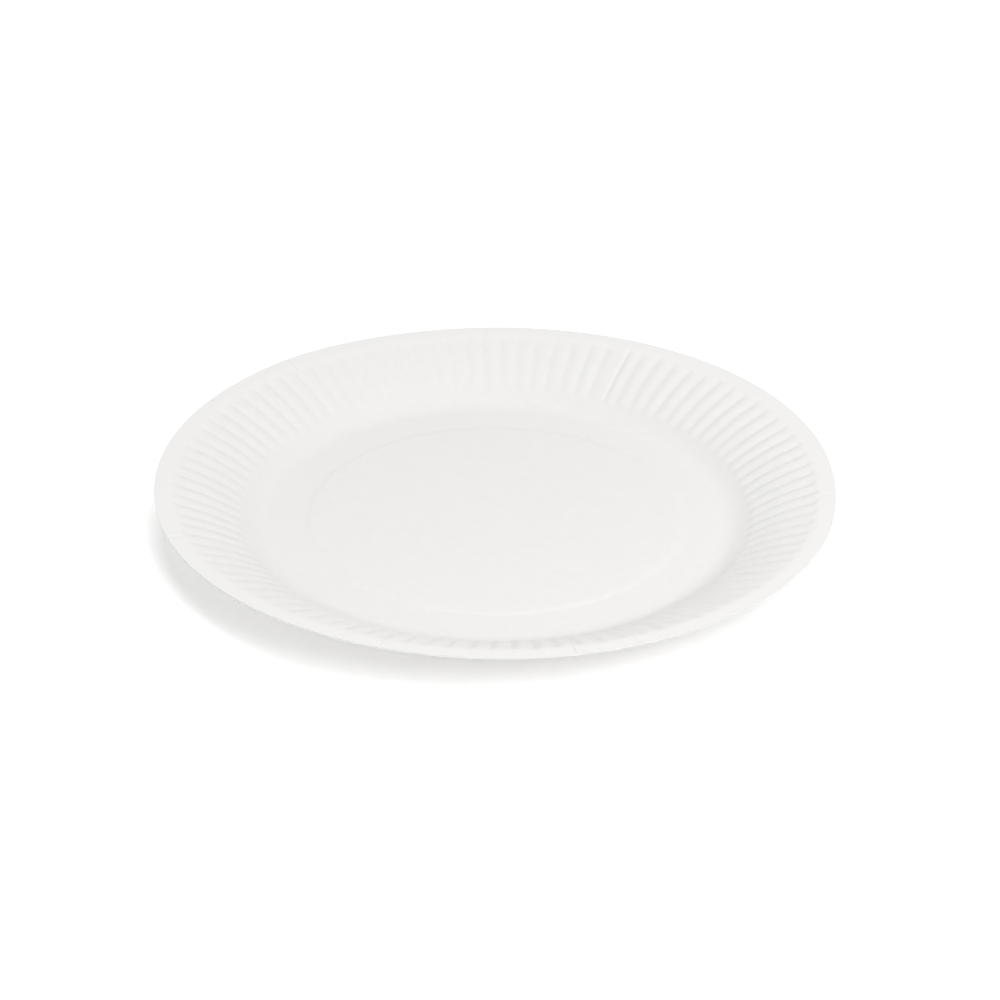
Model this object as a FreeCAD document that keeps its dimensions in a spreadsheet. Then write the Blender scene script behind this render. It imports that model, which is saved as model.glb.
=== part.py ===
"""A pressed paper plate: one sheet of board with a raised middle, a standing ring, a cove,
a wall of radial flutes and a plain lip. Millimetres and degrees, +Z up, standing on z = 0."""
import FreeCAD, Part
import math
import os

import Sketcher

doc = FreeCAD.newDocument("paper_plate")
V = FreeCAD.Vector

# Driving dimensions, each with its name in the sheet.
# Radial widths are level distances, counted inward from the rim of the plate.
DIMENSIONS = [
    ("plate_radius", 115.0, "middle of the plate to its cut edge"),
    ("board", 0.45, "thickness of the board, the same everywhere"),
    ("lip_width", 6.6, "cut edge to the top of the wall"),
    ("lip_radius", 15.0, "top side of the bend from the wall to the lip"),
    ("lip_angle", 5.0, "slope of the lip up to its cut edge"),
    ("wall_run", 24.9, "level width of the straight wall"),
    ("wall_angle", 26.3, "slope of the wall above level"),
    ("cove_radius", 19.0, "top side of the bend from the standing ring to the wall"),
    ("foot_width", 10.8, "flat standing ring"),
    ("riser_width", 0.8, "level width of the step up to the middle"),
    ("panel_rise", 0.5, "height of the middle above the standing ring"),
    ("flute_count", 100, "flutes round the wall"),
    ("inner_margin", 2.0, "plain wall between the cove and the flutes, along the slope"),
    ("outer_margin", 1.0, "plain wall between the flutes and the lip, along the slope"),
    ("flute_depth", 0.6, "ridge to valley floor, square to the wall"),
    ("valley_share", 0.42, "part of the pitch that the valley's mouth takes"),
    ("flank_angle", 45.0, "slope of a valley's two sides against the wall"),
    ("inner_end_angle", 13.0, "slope of a valley's end by the cove"),
    ("outer_end_angle", 35.0, "slope of a valley's end by the lip"),
    ("cut_clearance", 0.2, "how far the valley's cutter stands clear of the board"),
]

sheet = doc.addObject("Spreadsheet::Sheet", "sizes")
for row, (alias, value, note) in enumerate(DIMENSIONS, start=1):
    sheet.set(f"A{row}", alias)
    sheet.set(f"B{row}", str(value))
    sheet.setAlias(f"B{row}", alias)
    sheet.set(f"C{row}", note)
doc.recompute()

plate = doc.addObject("PartDesign::Body", "plate")
plate.Label = "plate"


def origin_feature(body, role):
    """The body's own origin plane or axis with this role."""
    return next(item for item in body.Origin.OriginFeatures if item.Role == role)


def new_sketch(body, name, plane):
    """A sketch lying on one of the body's origin planes."""
    sketch = body.newObject("Sketcher::SketchObject", name)
    sketch.AttachmentSupport = [(origin_feature(body, plane), "")]
    sketch.MapMode = "FlatFace"
    return sketch


def add_size(sketch, name, expression, *constraint):
    """A named dimension of a sketch, bound to the sheet."""
    index = sketch.addConstraint(Sketcher.Constraint(*constraint))
    sketch.renameConstraint(index, name)
    sketch.setExpression(f"Constraints.{name}", expression)


def level_arc(centre, radius, low, high):
    """An arc in sketch coordinates from its low angle to its high one, counterclockwise."""
    return Part.ArcOfCircle(Part.Circle(centre, V(0, 0, 1), radius), low, high)


# Section of the board: across is the distance from the middle, up is the height.
# START and END are the ends of a sketch line, CENTRE the middle of an arc.
START, END, CENTRE = 1, 2, 3
ORIGIN = (-1, 1)
LEVEL_AXIS, UPRIGHT_AXIS = -1, -2

section = new_sketch(plate, "section", "XZ_Plane")
slope = math.radians(sheet.wall_angle)
wall_top = sheet.plate_radius - sheet.lip_width
wall_foot = wall_top - sheet.wall_run
cove_start = wall_foot - sheet.cove_radius * math.sin(slope)
riser_foot = cove_start - sheet.foot_width
riser_top = riser_foot - sheet.riser_width
cove_centre = V(cove_start, sheet.board + sheet.cove_radius, 0)
lip_slope = math.radians(sheet.lip_angle)
down_wall_normal = V(math.sin(slope), -math.cos(slope), 0)
down_lip_normal = V(math.sin(lip_slope), -math.cos(lip_slope), 0)
foot_point = cove_centre + down_wall_normal * sheet.cove_radius
top_point = foot_point + V(1, math.tan(slope), 0) * sheet.wall_run
lip_centre = top_point + down_wall_normal * sheet.lip_radius
riser_slope = math.atan2(sheet.panel_rise, sheet.riser_width)


def side_of_board(under):
    """Lines and arcs of one side of the board, the given depth under its top side."""
    up = sheet.board - under
    panel_up = up + sheet.panel_rise
    riser_shift = under * math.tan(riser_slope / 2)
    bend_end = lip_centre - down_lip_normal * (sheet.lip_radius - under)
    lip_up = bend_end.y + (sheet.plate_radius - bend_end.x) * math.tan(lip_slope)
    return [
        Part.LineSegment(V(0, panel_up, 0), V(riser_top - riser_shift, panel_up, 0)),
        Part.LineSegment(V(riser_top - riser_shift, panel_up, 0), V(riser_foot - riser_shift, up, 0)),
        Part.LineSegment(V(riser_foot - riser_shift, up, 0), V(cove_start, up, 0)),
        level_arc(cove_centre, sheet.cove_radius + under, -math.pi / 2, slope - math.pi / 2),
        Part.LineSegment(foot_point + down_wall_normal * under, top_point + down_wall_normal * under),
        level_arc(lip_centre, sheet.lip_radius - under, lip_slope + math.pi / 2, slope + math.pi / 2),
        Part.LineSegment(bend_end, V(sheet.plate_radius, lip_up, 0)),
    ]


PANEL, RISER, FOOT, COVE, WALL, BEND, LIP = range(7)
UNDER = 7
EDGE, AXIS = 14, 15
top_side = side_of_board(0)
under_side = side_of_board(sheet.board)
section.addGeometry(top_side)
section.addGeometry(under_side)
section.addGeometry(Part.LineSegment(top_side[LIP].EndPoint, under_side[LIP].EndPoint))
section.addGeometry(Part.LineSegment(top_side[PANEL].StartPoint, under_side[PANEL].StartPoint))

for side in (0, UNDER):
    section.addConstraint([
        Sketcher.Constraint("Coincident", side + PANEL, END, side + RISER, START),
        Sketcher.Constraint("Coincident", side + RISER, END, side + FOOT, START),
        Sketcher.Constraint("Tangent", side + FOOT, END, side + COVE, START),
        Sketcher.Constraint("Tangent", side + COVE, END, side + WALL, START),
        Sketcher.Constraint("Tangent", side + WALL, END, side + BEND, END),
        Sketcher.Constraint("Tangent", side + BEND, START, side + LIP, START),
        Sketcher.Constraint("Horizontal", side + PANEL),
        Sketcher.Constraint("Horizontal", side + FOOT),
    ])
section.addConstraint([
    Sketcher.Constraint("Coincident", LIP, END, EDGE, START),
    Sketcher.Constraint("Coincident", UNDER + LIP, END, EDGE, END),
    Sketcher.Constraint("Coincident", PANEL, START, AXIS, START),
    Sketcher.Constraint("Coincident", UNDER + PANEL, START, AXIS, END),
    Sketcher.Constraint("Vertical", EDGE),
    Sketcher.Constraint("PointOnObject", PANEL, START, UPRIGHT_AXIS),
    Sketcher.Constraint("PointOnObject", UNDER + PANEL, START, UPRIGHT_AXIS),
    Sketcher.Constraint("PointOnObject", UNDER + FOOT, START, LEVEL_AXIS),
    Sketcher.Constraint("Coincident", COVE, CENTRE, UNDER + COVE, CENTRE),
    Sketcher.Constraint("Coincident", BEND, CENTRE, UNDER + BEND, CENTRE),
    Sketcher.Constraint("Parallel", RISER, UNDER + RISER),
    Sketcher.Constraint("Parallel", LIP, UNDER + LIP),
])
add_size(section, "plate_radius", "sizes.plate_radius", "DistanceX", *ORIGIN, LIP, END, sheet.plate_radius)
add_size(section, "lip_width", "sizes.lip_width", "DistanceX", WALL, END, LIP, END, sheet.lip_width)
add_size(section, "wall_run", "sizes.wall_run", "DistanceX", WALL, START, WALL, END, sheet.wall_run)
add_size(section, "wall_angle", "sizes.wall_angle * 1 deg", "Angle", WALL, slope)
add_size(section, "lip_angle", "sizes.lip_angle * 1 deg", "Angle", LIP, lip_slope)
add_size(section, "cove_radius", "sizes.cove_radius", "Radius", COVE, sheet.cove_radius)
add_size(section, "lip_radius", "sizes.lip_radius", "Radius", BEND, sheet.lip_radius)
add_size(section, "foot_width", "sizes.foot_width", "DistanceX", FOOT, START, FOOT, END, sheet.foot_width)
add_size(section, "riser_width", "sizes.riser_width", "DistanceX", RISER, START, RISER, END,
         sheet.riser_width)
add_size(section, "panel_rise", "sizes.panel_rise", "DistanceY", RISER, END, RISER, START,
         sheet.panel_rise)
add_size(section, "foot_board", "sizes.board", "DistanceY", UNDER + COVE, START, COVE, START, sheet.board)
add_size(section, "panel_board", "sizes.board", "DistanceY", AXIS, END, AXIS, START, sheet.board)
add_size(section, "lip_board", "sizes.board", "Distance", UNDER + LIP, START, LIP, sheet.board)
add_size(section, "riser_board", "sizes.board", "Distance", UNDER + RISER, START, RISER, sheet.board)

formed_board = plate.newObject("PartDesign::Revolution", "formed_board")
formed_board.Profile = section
formed_board.ReferenceAxis = (section, ["V_Axis"])
formed_board.Angle = 360
doc.recompute()


# A valley is pressed down from the wall: the board bulges below it and is hollow above it.
# Its outlines lie square to the wall's slope, lift being the height over the wall's top side.
FOOT_RADIUS = "(sizes.plate_radius - sizes.lip_width - sizes.wall_run)"
WALL_LENGTH = "(sizes.wall_run / cos(sizes.wall_angle))"
FOOT_HEIGHT = "(sizes.board + sizes.cove_radius * (1 - cos(sizes.wall_angle)))"


def half_width(along, lift, skin):
    """Half the valley's width at a distance along the wall, with a skin of board outside it."""
    half_pitch = f"pi * ({FOOT_RADIUS} + ({along}) * cos(sizes.wall_angle)) / sizes.flute_count"
    spread = f"({lift}) / tan(sizes.flank_angle) + ({skin}) / sin(sizes.flank_angle)"
    return f"{half_pitch} * sizes.valley_share + {spread}"


def valley_outline(name, lift, skin):
    """The four-sided outline of a valley at one height, which follows the sheet."""
    outline = new_sketch(plate, name, "XY_Plane")
    outline.setExpression(".AttachmentOffset.Base.x", f"{FOOT_RADIUS} - ({lift}) * sin(sizes.wall_angle)")
    outline.setExpression(".AttachmentOffset.Base.z", f"{FOOT_HEIGHT} + ({lift}) * cos(sizes.wall_angle)")
    outline.AttachmentOffset = FreeCAD.Placement(V(0, 0, 0), FreeCAD.Rotation(V(0, -1, 0), 1))
    outline.setExpression(".AttachmentOffset.Rotation.Angle", "sizes.wall_angle * 1 deg")
    inner = (f"sizes.inner_margin - ({lift}) / tan(sizes.inner_end_angle)"
             f" - ({skin}) / sin(sizes.inner_end_angle)")
    outer = (f"{WALL_LENGTH} - sizes.outer_margin + ({lift}) / tan(sizes.outer_end_angle)"
             f" + ({skin}) / sin(sizes.outer_end_angle)")
    corners = [V(1, -1, 0), V(20, -2, 0), V(20, 2, 0), V(1, 1, 0)]
    for corner, following in zip(corners, corners[1:] + corners[:1]):
        outline.addGeometry(Part.LineSegment(corner, following))
    for side in range(4):
        outline.addConstraint(Sketcher.Constraint("Coincident", side, END, (side + 1) % 4, START))
    outline.addConstraint(Sketcher.Constraint("Symmetric", 0, START, 3, START, LEVEL_AXIS))
    outline.addConstraint(Sketcher.Constraint("Symmetric", 0, END, 2, START, LEVEL_AXIS))
    add_size(outline, "inner_end", inner, "DistanceX", *ORIGIN, 0, START, 1)
    add_size(outline, "outer_end", outer, "DistanceX", *ORIGIN, 0, END, 20)
    add_size(outline, "inner_half", half_width(inner, lift, skin), "DistanceY", 0, START, *ORIGIN, 1)
    add_size(outline, "outer_half", half_width(outer, lift, skin), "DistanceY", 0, END, *ORIGIN, 2)
    return outline


def round_the_wall(feature, name):
    """The feature repeated once for each flute."""
    ring = plate.newObject("PartDesign::PolarPattern", name)
    ring.Originals = [feature]
    ring.Axis = (origin_feature(plate, "Z_Axis"), [""])
    ring.Angle = 360
    ring.setExpression("Occurrences", "sizes.flute_count")
    plate.Tip = ring
    return ring


bulge = plate.newObject("PartDesign::AdditiveLoft", "bulge")
bulge.Profile = valley_outline("bulge_mouth", "-sizes.board / 2", "sizes.board")
bulge.Sections = [valley_outline("bulge_floor", "-sizes.flute_depth - sizes.board", "sizes.board")]
bulge.Ruled = True
plate.Tip = bulge
bulges = round_the_wall(bulge, "bulges")

hollow = plate.newObject("PartDesign::SubtractiveLoft", "hollow")
hollow.Profile = valley_outline("hollow_mouth", "sizes.cut_clearance", "0")
hollow.Sections = [valley_outline("hollow_floor", "-sizes.flute_depth", "0")]
hollow.Ruled = True
plate.Tip = hollow
hollows = round_the_wall(hollow, "hollows")
doc.recompute()

for item in doc.Objects:
    faults = {"Invalid", "Error"} & set(item.State)
    if faults:
        raise RuntimeError(f"{item.Label} failed: {sorted(faults)}")
if plate.Shape.isNull() or not plate.Shape.isValid() or len(plate.Shape.Solids) != 1:
    raise RuntimeError("the plate isn't one valid solid")
if not bulges.Shape.Volume > formed_board.Shape.Volume:
    raise RuntimeError("the bulges add nothing")
if not hollows.Shape.Volume < bulges.Shape.Volume:
    raise RuntimeError("the hollows cut nothing")

os.makedirs("parts", exist_ok=True)
plate.Shape.exportStep(f"parts/{plate.Label}.step")
print(plate.Label, "volume", round(plate.Shape.Volume), "faces", len(plate.Shape.Faces))
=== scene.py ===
import bpy
import math
import numpy as np
from mathutils import Matrix, Vector


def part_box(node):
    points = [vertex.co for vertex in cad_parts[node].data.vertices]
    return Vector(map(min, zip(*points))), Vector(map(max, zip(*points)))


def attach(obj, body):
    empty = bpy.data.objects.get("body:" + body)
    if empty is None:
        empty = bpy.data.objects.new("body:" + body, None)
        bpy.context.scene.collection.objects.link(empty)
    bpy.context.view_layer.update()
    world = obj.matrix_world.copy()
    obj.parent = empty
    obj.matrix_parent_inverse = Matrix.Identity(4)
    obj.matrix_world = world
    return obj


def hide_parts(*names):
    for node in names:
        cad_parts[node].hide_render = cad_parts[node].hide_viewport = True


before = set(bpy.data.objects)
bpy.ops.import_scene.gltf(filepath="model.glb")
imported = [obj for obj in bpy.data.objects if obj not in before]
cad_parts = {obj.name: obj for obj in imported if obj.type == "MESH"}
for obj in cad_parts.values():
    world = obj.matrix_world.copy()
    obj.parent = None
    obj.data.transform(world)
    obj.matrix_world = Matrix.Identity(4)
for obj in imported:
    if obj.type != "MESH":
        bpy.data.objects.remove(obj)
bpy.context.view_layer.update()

MM = 0.001

# The board's section, in millimetres: heights over the table, radii and widths. Slopes are rise over run.
PLATE_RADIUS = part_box("plate")[1][0] / MM
RIM_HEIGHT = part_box("plate")[1][2] / MM
BOARD = 0.45
PANEL_RISE = 0.5
RISER_FOOT = 64.28
RISER_WIDTH = 0.8
RISER_TOP = RISER_FOOT - RISER_WIDTH
RISER_SOFTENING = 1.2
COVE_START = 76.0
COVE_END = 86.6
LIP_WIDTH = 6.6
WALL_RUN = 24.9
WALL_FOOT = PLATE_RADIUS - LIP_WIDTH - WALL_RUN
WALL_FOOT_SLOPE = 0.73
WALL_TOP_SLOPE = 0.35
BEND_START = 107.0
BEND_END = 112.0
LIP_SLOPE = 0.0875
SECTION_STEPS = 2000

# The flutes, in millimetres along and across, apart from the first valley's azimuth.
FLUTE_COUNT = 100
FLUTE_ANGLE = 2 * math.pi / FLUTE_COUNT
FIRST_VALLEY = math.radians(-0.8)
FLUTE_START = 85.3
FLUTE_END = 109.4
VALLEY_FLOOR = 0.05
VALLEY_HALF_WIDTH = 2.6
VALLEY_DEPTH = 0.42
RIDGE_HEIGHT = 0.2
RIDGE_TIP_BLUNTNESS = 1.6
VALLEY_END_BLUNTNESS = 1.0

# Radii over which the ridges rise and fade, the valleys drop by a share each, and the flutes begin and cease.
RIDGE_RISE_SPAN = (FLUTE_START - 1.0, FLUTE_START + 3.0)
RIDGE_FADE_SPAN = (FLUTE_END - 7.0, FLUTE_END)
VALLEY_DROPS = [(0.55, FLUTE_START, FLUTE_START + 5.0), (0.45, FLUTE_START + 6.0, FLUTE_END - 4.0)]
FLUTE_BEGIN_SPAN = (FLUTE_START - 1.0, FLUTE_START)
FLUTE_CEASE_SPAN = (FLUTE_END - 0.3, FLUTE_END + 0.9)

# How far the flutes differ from one another: in pitches, as a share of the depth and in millimetres.
# One valley strays by more than the others, in pitches.
UNEVENNESS_SEED = 23
SHIFT_SPREAD = 0.025
DEPTH_SPREAD = 0.16
END_SPREAD = 0.45
STRAY_VALLEY = 18
STRAY_SHIFT = -0.35

# How deep the flutes are pressed round the plate: azimuth in degrees, multiple of the depth above.
FLUTE_STRENGTH = [(0, 1.65), (30, 1.25), (60, 1.05), (90, 0.65), (120, 0.55), (150, 0.61), (165, 0.68),
                  (180, 0.95), (195, 1.25), (225, 0.8), (245, 1.45), (275, 1.55), (300, 1.4), (330, 0.75),
                  (345, 1.4)]

# How far the rim stands out of round: azimuth in degrees, millimetres outward.
RIM_RIPPLE = [(1, -0.55), (17, 0.0), (31, 0.6), (42, 0.8), (52, 0.85), (62, 0.65), (76, 0.15), (97, -0.45),
              (108, -0.55), (122, 0.3), (131, 0.8), (142, 0.3), (177, -0.15), (208, 0.0), (238, -0.25),
              (258, -0.2), (270, -0.05), (281, 0.35), (295, 0.55), (311, 0.75), (322, 0.95), (335, 0.4),
              (350, -0.35)]

# Both lists are evened out over some degrees, and overlap by some where the turn closes.
EVEN_OVER = 13
LIST_OVERLAP = 20

# Fine radial creases: azimuth in degrees, then in millimetres where each starts and ends inward from the rim,
# and its depth. The first one sharpens the stray valley.
CREASES = [(63.0, 6.8, 15.0, 0.1), (92.0, 0.0, 7.5, 0.2), (131.5, 0.0, 8.0, 0.25), (151.8, 0.0, 7.0, 0.25),
           (191.5, 0.0, 7.0, 0.15), (202.0, 0.0, 7.5, 0.2), (251.8, 0.0, 8.0, 0.25), (282.5, 0.0, 8.5, 0.3),
           (292.8, 0.0, 24.0, 0.25), (353.8, 0.0, 8.0, 0.12)]
CREASE_WIDTH = 0.2
CREASE_FADE = 3.0

# The mesh's rows: how many lie evenly along a stretch, and millimetres from the flutes' ends or from the rim.
RISER_ROWS = 7
COVE_ROWS = 8
COVE_LAST = -0.8
TIP_ROWS = (-0.2, 0.3, 0.8, 1.4, 2.0, 2.8, 3.8)
WALL_ROWS = 6
WALL_FIRST = 6.0
WALL_LAST = -4.5
END_ROWS = (-3.3, -2.3, -1.5, -0.9, -0.3, 0.3)
LIP_ROWS = 6
LIP_FIRST = 1.0
LIP_LAST = -1.2
EDGE_ROWS = (-0.12, -0.03)

# The mesh's columns, as shares of a flute's width and of a crease's width.
FLUTE_COLUMNS = (0, 0.07, 0.15, 0.24, 0.36, 0.5, 0.64, 0.76, 0.85, 0.93)
CREASE_COLUMNS = (-1.4, -0.6, 0, 0.6, 1.4)
ANGLE_DIGITS = 6
SHARP_ANGLE = math.radians(50)

# The paper: its colours, painted light on the lip and painted shade on the cut edge, the radii where the
# lip's painted light comes in, and its grain.
PAPER_DARK = (0.738, 0.731, 0.718, 1)
PAPER_PALE = (0.760, 0.753, 0.742, 1)
# Painted light makes the lip paler, and painted shade makes the cut edge darker.
LIP_PAINTED_LIGHT = (0.773, 0.766, 0.755, 1)
CUT_EDGE_PAINTED_SHADE = (0.74, 0.732, 0.718, 1)
LIP_PAINTED_LIGHT_SPAN = (105.0, 110.5)
CLOUD_SCALE = 350
CLOUD_DETAIL = 5
GRAIN_SCALE = 2600
GRAIN_DETAIL = 3
NOISE_ROUGHNESS = 0.6
NOISE_RANGE = (0.25, 0.75)
PAPER_ROUGHNESS = (0.62, 0.82)
PAPER_SPECULAR = 0.35
GRAIN_HEIGHT = 0.02
GRAIN_STRENGTH = 0.5

# The studio: soft boxes with azimuth and elevation in degrees, distance in metres and power in watts.
# Each is a share of its distance wide. The table's half width is in metres.
WHITE = (1, 1, 1, 1)
LIGHTS = {"key": (304, 45, 1.1, 5.7),
          "overhead": (0, 90, 1.1, 4.05),
          "front_left": (240, 20, 2.5, 5.6),
          "back": (90, 45, 2.5, 4.2),
          "back_left": (120, 20, 2.5, 8.0)}
LIGHT_WIDTH_SHARE = 0.6
WORLD_STRENGTH = 0.41
TABLE_HALF = 4.0
TABLE_WHITE = (0.95, 0.95, 0.95, 1)
TABLE_ROUGHNESS = 0.9
TABLE_GLOW = 0.2

# The camera: metres, degrees, millimetres of lens and film, and pixels of the photograph.
CAMERA_DISTANCE = 0.947
CAMERA_ELEVATION = math.radians(29.60)
CAMERA_ROLL = math.radians(0.33)
LENS = 100
FILM_WIDTH = 36
IMAGE_WIDTH = 1000
PLATE_CENTRE_ACROSS = 495.4
PLATE_CENTRE_DOWN = 515.7


def smooth(value, low, high):
    """0 up to low, 1 from high on, and a soft step between them."""
    share = np.clip((value - low) / (high - low), 0.0, 1.0)
    return share * share * (3 - 2 * share)


def round_the_plate(values, angles):
    """A value given at a few azimuths, spread softly round the plate."""
    azimuths, amounts = np.array(values).T
    degrees = np.arange(-LIST_OVERLAP, 360 + LIST_OVERLAP)
    even = np.interp(degrees, azimuths, amounts, period=360)
    weights = np.hanning(EVEN_OVER)
    even = np.convolve(even, weights / weights.sum(), mode="same")
    return np.interp(np.degrees(angles) % 360, degrees, even)


def wall_slope(radii):
    """Slope of the board from the standing ring to the rim, as rise over run."""
    wall = WALL_FOOT_SLOPE + (WALL_TOP_SLOPE - WALL_FOOT_SLOPE) * (radii - WALL_FOOT) / WALL_RUN
    bend_in = smooth(radii, COVE_START, COVE_END)
    bend_out = smooth(radii, BEND_START, BEND_END)
    return wall * bend_in * (1 - bend_out) + LIP_SLOPE * bend_out


def section_heights(radii):
    """Height of the plate's top side over the table."""
    fine = np.linspace(COVE_START, PLATE_RADIUS, SECTION_STEPS)
    slopes = wall_slope(fine)
    climb = np.concatenate([[0], np.cumsum((slopes[1:] + slopes[:-1]) / 2 * np.diff(fine))])
    climb *= (RIM_HEIGHT - BOARD) / climb[-1]
    panel = PANEL_RISE * (1 - smooth(radii, RISER_TOP - RISER_SOFTENING, RISER_FOOT + RISER_SOFTENING))
    return BOARD + panel + np.interp(radii, fine, climb)


def row_radii():
    """Radii of the mesh's rows, close together where the board bends."""
    riser = np.linspace(RISER_TOP - RISER_SOFTENING, RISER_FOOT + RISER_SOFTENING, RISER_ROWS)
    ring = [(RISER_FOOT + COVE_START) / 2]
    cove = np.linspace(COVE_START, FLUTE_START + COVE_LAST, COVE_ROWS)
    tips = FLUTE_START + np.array(TIP_ROWS)
    wall = np.linspace(FLUTE_START + WALL_FIRST, FLUTE_END + WALL_LAST, WALL_ROWS)
    ends = FLUTE_END + np.array(END_ROWS)
    lip = np.linspace(FLUTE_END + LIP_FIRST, PLATE_RADIUS + LIP_LAST, LIP_ROWS)
    edge = PLATE_RADIUS + np.array(EDGE_ROWS)
    return np.concatenate([riser, ring, cove, tips, wall, ends, lip, edge])


def column_angles():
    """Azimuths of the mesh's columns: ten to a flute, and a few more at each crease."""
    angles = [FIRST_VALLEY + FLUTE_ANGLE * (flute + share)
              for flute in range(FLUTE_COUNT) for share in FLUTE_COLUMNS]
    for azimuth, *_ in CREASES:
        angles += [math.radians(azimuth) + side * CREASE_WIDTH / PLATE_RADIUS for side in CREASE_COLUMNS]
    return np.unique(np.round(np.array(angles) % (2 * math.pi), ANGLE_DIGITS))


def uneven_flutes():
    """Each flute's sideways shift and depth, and the radii where its ridge starts and its valley ends.

    Five numbers are drawn for each flute and four are used, so that each keeps its place in the draw.
    """
    unevenness = np.random.default_rng(UNEVENNESS_SEED)
    shift, depth, _, valley_end, ridge_tip = unevenness.uniform(-1, 1, (5, FLUTE_COUNT))
    shifts = shift * SHIFT_SPREAD
    shifts[STRAY_VALLEY] = STRAY_SHIFT
    tips = FLUTE_START + END_SPREAD * ridge_tip
    ends = FLUTE_END + END_SPREAD * valley_end
    return shifts, 1 + DEPTH_SPREAD * depth, tips, ends


def near_ridge_tips(level, from_ridge, half_pitch, half_width, tip):
    """1 on the ridges and 0 in the valleys, with the ridges' rounded tips by the cove."""
    tip_radius = half_pitch - VALLEY_FLOOR
    before_tip = np.maximum(0, tip + tip_radius / RIDGE_TIP_BLUNTNESS - level)
    to_ridge = np.hypot(RIDGE_TIP_BLUNTNESS * before_tip, from_ridge)
    return 1 - smooth(to_ridge, half_pitch - half_width, tip_radius)


def near_valley_ends(level, from_valley, half_width, end):
    """1 on the ridges and 0 in the valleys, with the valleys' rounded ends by the lip."""
    past_end = np.maximum(0, level - (end - half_width / VALLEY_END_BLUNTNESS))
    to_valley = np.hypot(VALLEY_END_BLUNTNESS * past_end, from_valley)
    return smooth(to_valley, VALLEY_FLOOR, half_width)


def flute_height(angles, radii):
    """Height of the fluted wall over the plain one, square to it."""
    shifts, depths, tips, ends = uneven_flutes()
    turns = (angles - FIRST_VALLEY) / FLUTE_ANGLE
    valley = np.round(turns).astype(int) % FLUTE_COUNT
    ridge = np.floor(turns).astype(int) % FLUTE_COUNT
    side = (turns + 0.5) % 1.0 - 0.5
    level = radii[:, None]
    pitch = FLUTE_ANGLE * level
    half_width = np.minimum(VALLEY_HALF_WIDTH, pitch / 2)
    from_valley = np.abs(side - shifts[valley] * (1 - 2 * np.abs(side)))[None, :] * pitch
    by_cove = near_ridge_tips(level, pitch / 2 - from_valley, pitch / 2, half_width, tips[ridge][None, :])
    by_lip = near_valley_ends(level, from_valley, half_width, ends[valley][None, :])
    ridge_share = np.where(level < (FLUTE_START + FLUTE_END) / 2, by_cove, by_lip)
    crest = RIDGE_HEIGHT * smooth(level, *RIDGE_RISE_SPAN) * (1 - smooth(level, *RIDGE_FADE_SPAN))
    deepening = sum(share * smooth(level, low, high) for share, low, high in VALLEY_DROPS)
    floor = -VALLEY_DEPTH * depths[valley][None, :] * deepening
    height = (floor + (crest - floor) * ridge_share) * round_the_plate(FLUTE_STRENGTH, angles)[None, :]
    inside = smooth(level, *FLUTE_BEGIN_SPAN) * (1 - smooth(level, *FLUTE_CEASE_SPAN))
    return height * inside


def crease_depth(angles, radii):
    """How far each point is pressed down by the creases."""
    pressed = np.zeros((len(radii), len(angles)))
    inward = PLATE_RADIUS - radii
    for azimuth, start, end, depth in CREASES:
        offset = (angles - math.radians(azimuth) + math.pi) % (2 * math.pi) - math.pi
        across = offset[None, :] * radii[:, None] / CREASE_WIDTH
        inside = smooth(inward, start - CREASE_FADE, start) * (1 - smooth(inward, end - CREASE_FADE, end))
        pressed += depth * np.exp(-across ** 2) * inside[:, None]
    return pressed


def top_points(angles, radii):
    """Grid of points of the plate's top side, rows from the middle out."""
    heights = section_heights(radii)
    slopes = np.arctan(wall_slope(radii))
    lift = flute_height(angles, radii) - crease_depth(angles, radii)
    level = radii[:, None] - lift * np.sin(slopes)[:, None]
    up = heights[:, None] + lift * np.cos(slopes)[:, None]
    ripple = round_the_plate(RIM_RIPPLE, angles)[None, :]
    level = level + ripple * smooth(radii, WALL_FOOT, PLATE_RADIUS)[:, None]
    return np.stack([level * np.cos(angles), level * np.sin(angles), up], axis=-1)


def grid_normals(points):
    """Unit normals of a grid of points that closes on itself along its second index."""
    down_rows = np.gradient(points, axis=0)
    round_columns = np.roll(points, -1, axis=1) - np.roll(points, 1, axis=1)
    normals = np.cross(down_rows, round_columns)
    return normals / np.linalg.norm(normals, axis=-1, keepdims=True)


def mark_rows(mesh, name, row_values, column_count):
    """Store one number for each row of points, for the material to read."""
    attribute = mesh.attributes.new(name, "FLOAT", "POINT")
    attribute.data.foreach_set("value", np.repeat(row_values, column_count).astype(np.float32))


def plate_mesh():
    """The sheet of board with its top side, its underside and its cut edge."""
    angles, radii = column_angles(), row_radii()
    top = top_points(angles, radii)
    under = top - BOARD * grid_normals(top)
    under[-1, :, :2] = top[-1, :, :2]
    loops = np.concatenate([top, under[::-1]])
    row_count, column_count = loops.shape[:2]
    corners = np.arange(row_count * column_count).reshape(row_count, column_count)
    following = np.roll(corners, -1, axis=1)
    quads = np.stack([corners[:-1], corners[1:], following[1:], following[:-1]], axis=-1).reshape(-1, 4)
    faces = quads.tolist() + [corners[0].tolist(), corners[-1][::-1].tolist()]
    mesh = bpy.data.meshes.new("paper_plate")
    mesh.from_pydata((loops.reshape(-1, 3) * MM).tolist(), [], faces)
    # Rows of the cut edge, which the material darkens with painted shade.
    mark_rows(mesh, "painted_edge_shade", np.abs(np.arange(row_count) - (row_count - 1) / 2) < 1, column_count)
    # Rows of the lip, which the material makes paler with painted light.
    mark_rows(mesh, "lip", smooth(np.concatenate([radii, radii[::-1]]), *LIP_PAINTED_LIGHT_SPAN), column_count)
    mesh.shade_smooth()
    mesh.set_sharp_from_angle(angle=SHARP_ANGLE)
    mesh.validate()
    return mesh


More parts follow.
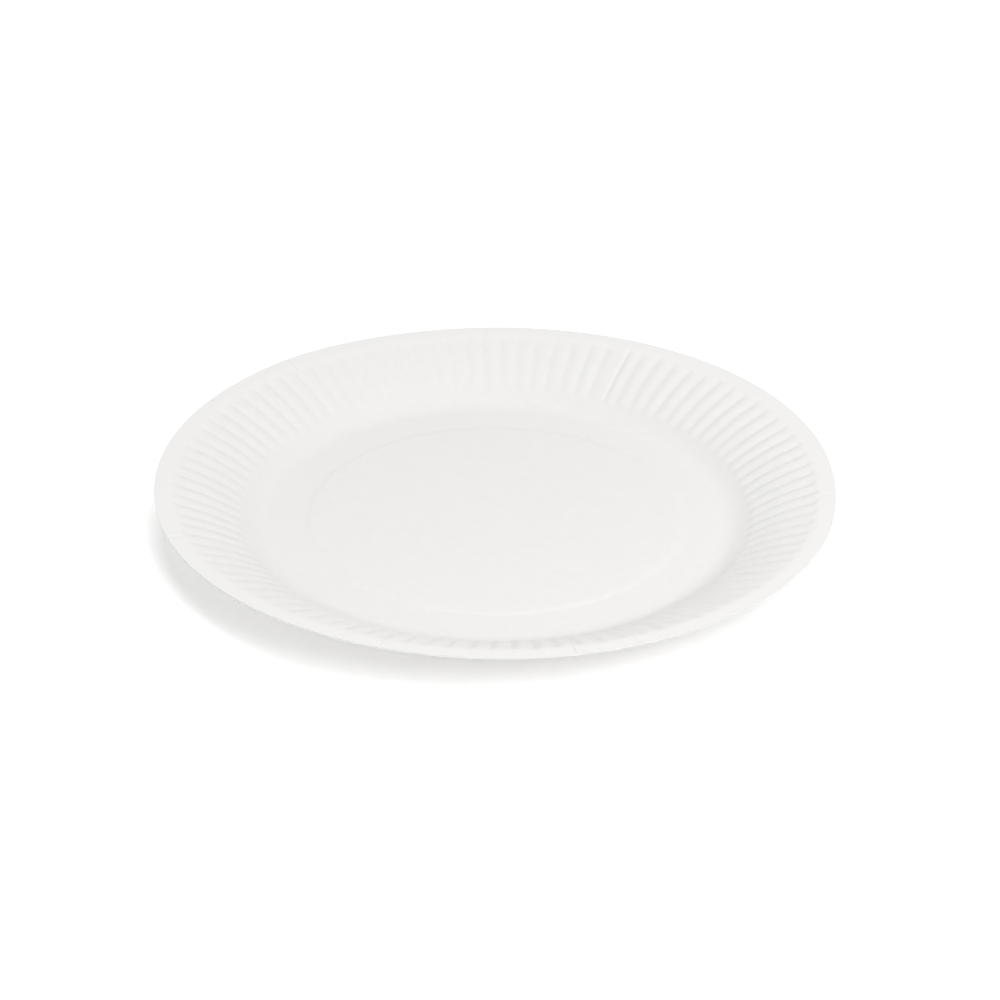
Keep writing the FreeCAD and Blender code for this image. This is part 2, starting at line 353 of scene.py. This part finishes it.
def paper_material():
    """Uncoated white board: cloudy fibre formation, fine grain, a dull surface, a lip paler with painted
    light and a cut edge darker with painted shade.
    """
    material = bpy.data.materials.new("paper_board")
    material.use_nodes = True
    nodes, links = material.node_tree.nodes, material.node_tree.links
    shader = nodes["Principled BSDF"]
    place = nodes.new("ShaderNodeTexCoord")

    def noise(scale, detail):
        texture = nodes.new("ShaderNodeTexNoise")
        texture.inputs["Scale"].default_value = scale
        texture.inputs["Detail"].default_value = detail
        texture.inputs["Roughness"].default_value = NOISE_ROUGHNESS
        links.new(place.outputs["Object"], texture.inputs["Vector"])
        return texture.outputs["Fac"]

    def spread(source, low, high):
        scaled = nodes.new("ShaderNodeMapRange")
        scaled.inputs["From Min"].default_value = NOISE_RANGE[0]
        scaled.inputs["From Max"].default_value = NOISE_RANGE[1]
        scaled.inputs["To Min"].default_value = low
        scaled.inputs["To Max"].default_value = high
        links.new(source, scaled.inputs["Value"])
        return scaled.outputs["Result"]

    def marked(name):
        attribute = nodes.new("ShaderNodeAttribute")
        attribute.attribute_name = name
        return attribute.outputs["Fac"]

    def mix_to(colour, share):
        mix = nodes.new("ShaderNodeMix")
        mix.data_type = "RGBA"
        mix.inputs["B"].default_value = colour
        links.new(share, mix.inputs["Factor"])
        return mix

    grain = noise(GRAIN_SCALE, GRAIN_DETAIL)
    clouds = mix_to(PAPER_PALE, spread(noise(CLOUD_SCALE, CLOUD_DETAIL), 0, 1))
    clouds.inputs["A"].default_value = PAPER_DARK
    # Painted light: the lip is made paler than the rest of the board.
    lip = mix_to(LIP_PAINTED_LIGHT, marked("lip"))
    links.new(clouds.outputs["Result"], lip.inputs["A"])
    # Painted shade: the cut edge is made darker than the top side.
    painted_edge_shade = mix_to(CUT_EDGE_PAINTED_SHADE, marked("painted_edge_shade"))
    links.new(lip.outputs["Result"], painted_edge_shade.inputs["A"])
    links.new(painted_edge_shade.outputs["Result"], shader.inputs["Base Color"])
    links.new(spread(grain, *PAPER_ROUGHNESS), shader.inputs["Roughness"])
    shader.inputs["Specular IOR Level"].default_value = PAPER_SPECULAR
    bump = nodes.new("ShaderNodeBump")
    bump.inputs["Distance"].default_value = GRAIN_HEIGHT * MM
    bump.inputs["Strength"].default_value = GRAIN_STRENGTH
    links.new(grain, bump.inputs["Height"])
    links.new(bump.outputs["Normal"], shader.inputs["Normal"])
    return material


def add_plate():
    """The fine mesh of the plate, in place of the plain solid."""
    piece = bpy.data.objects.new("plate_board", plate_mesh())
    bpy.context.collection.objects.link(piece)
    piece.data.materials.append(paper_material())
    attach(piece, "root")
    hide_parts("plate")


def table_material():
    """A matt white that glows a little, so that the lit table is as white as the photograph's ground."""
    material = bpy.data.materials.new("white_table")
    material.use_nodes = True
    shader = material.node_tree.nodes["Principled BSDF"]
    shader.inputs["Base Color"].default_value = TABLE_WHITE
    shader.inputs["Roughness"].default_value = TABLE_ROUGHNESS
    shader.inputs["Specular IOR Level"].default_value = 0.0
    shader.inputs["Emission Color"].default_value = WHITE
    shader.inputs["Emission Strength"].default_value = TABLE_GLOW
    return material


def add_floor():
    """A plain white table that reaches past every view."""
    sides = ((-1, -1), (1, -1), (1, 1), (-1, 1))
    corners = [(across * TABLE_HALF, away * TABLE_HALF, 0) for across, away in sides]
    mesh = bpy.data.meshes.new("floor")
    mesh.from_pydata(corners, [], [(0, 1, 2, 3)])
    mesh.materials.append(table_material())
    floor = bpy.data.objects.new("floor", mesh)
    bpy.context.collection.objects.link(floor)


def add_light(name, azimuth, elevation, distance, power):
    """A round soft box that looks at the middle of the plate."""
    data = bpy.data.lights.new(name, "AREA")
    data.shape = "DISK"
    data.size = distance * LIGHT_WIDTH_SHARE
    data.energy = power
    light = bpy.data.objects.new(name, data)
    bpy.context.collection.objects.link(light)
    azimuth, elevation = math.radians(azimuth), math.radians(elevation)
    towards = Vector((math.cos(azimuth) * math.cos(elevation), math.sin(azimuth) * math.cos(elevation),
                      math.sin(elevation)))
    light.location = towards * distance
    light.rotation_euler = towards.to_track_quat("Z", "Y").to_euler()


def add_world():
    """Even white light from all round."""
    world = bpy.data.worlds.new("studio")
    world.use_nodes = True
    background = world.node_tree.nodes["Background"]
    background.inputs["Color"].default_value = WHITE
    background.inputs["Strength"].default_value = WORLD_STRENGTH
    bpy.context.scene.world = world


def add_camera():
    """A long lens from the front, looking down on the plate."""
    data = bpy.data.cameras.new("camera")
    data.lens = LENS
    data.sensor_width = FILM_WIDTH
    data.shift_x = (IMAGE_WIDTH / 2 - PLATE_CENTRE_ACROSS) / IMAGE_WIDTH
    data.shift_y = (PLATE_CENTRE_DOWN - IMAGE_WIDTH / 2) / IMAGE_WIDTH
    camera = bpy.data.objects.new("camera", data)
    bpy.context.collection.objects.link(camera)
    place = Vector((0, -CAMERA_DISTANCE * math.cos(CAMERA_ELEVATION),
                    BOARD * MM + CAMERA_DISTANCE * math.sin(CAMERA_ELEVATION)))
    camera.matrix_world = (Matrix.Translation(place) @ Matrix.Rotation(math.pi / 2 - CAMERA_ELEVATION, 4, "X")
                           @ Matrix.Rotation(CAMERA_ROLL, 4, "Z"))
    bpy.context.scene.camera = camera


add_plate()
add_floor()
for light_name, light_setting in LIGHTS.items():
    add_light(light_name, *light_setting)
add_world()
add_camera()
bpy.context.scene.view_settings.view_transform = "Standard"
